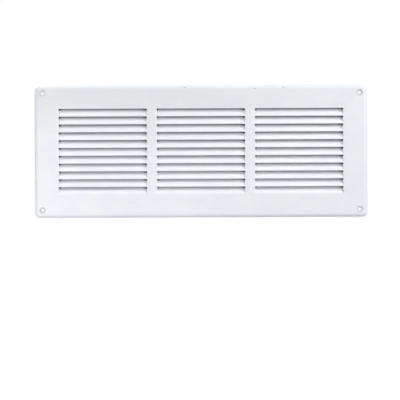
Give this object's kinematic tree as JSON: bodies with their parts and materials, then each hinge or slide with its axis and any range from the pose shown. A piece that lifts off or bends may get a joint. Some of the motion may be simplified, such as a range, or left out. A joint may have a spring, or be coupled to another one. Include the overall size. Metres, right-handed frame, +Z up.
{
  "type": "ventilation grille",
  "caption": "Rectangular louvred wall grille pressed from one white lacquered sheet, with inward slats in columns, a rolled-back edge and countersunk corner screw holes.",
  "frame": {"origin": "middle of the four screw holes, on the wall plane that the rim and the dimples sit on", "axes": "+X along the panel's width, to the right seen from the front; +Y into the wall; +Z up"},
  "size_m": [0.38, 0.0061, 0.151],
  "materials": {
    "white_lacquer": "satin"
  },
  "bodies": {
    "root": {"louvre_panel": "white_lacquer"}
  },
  "joints": []
}
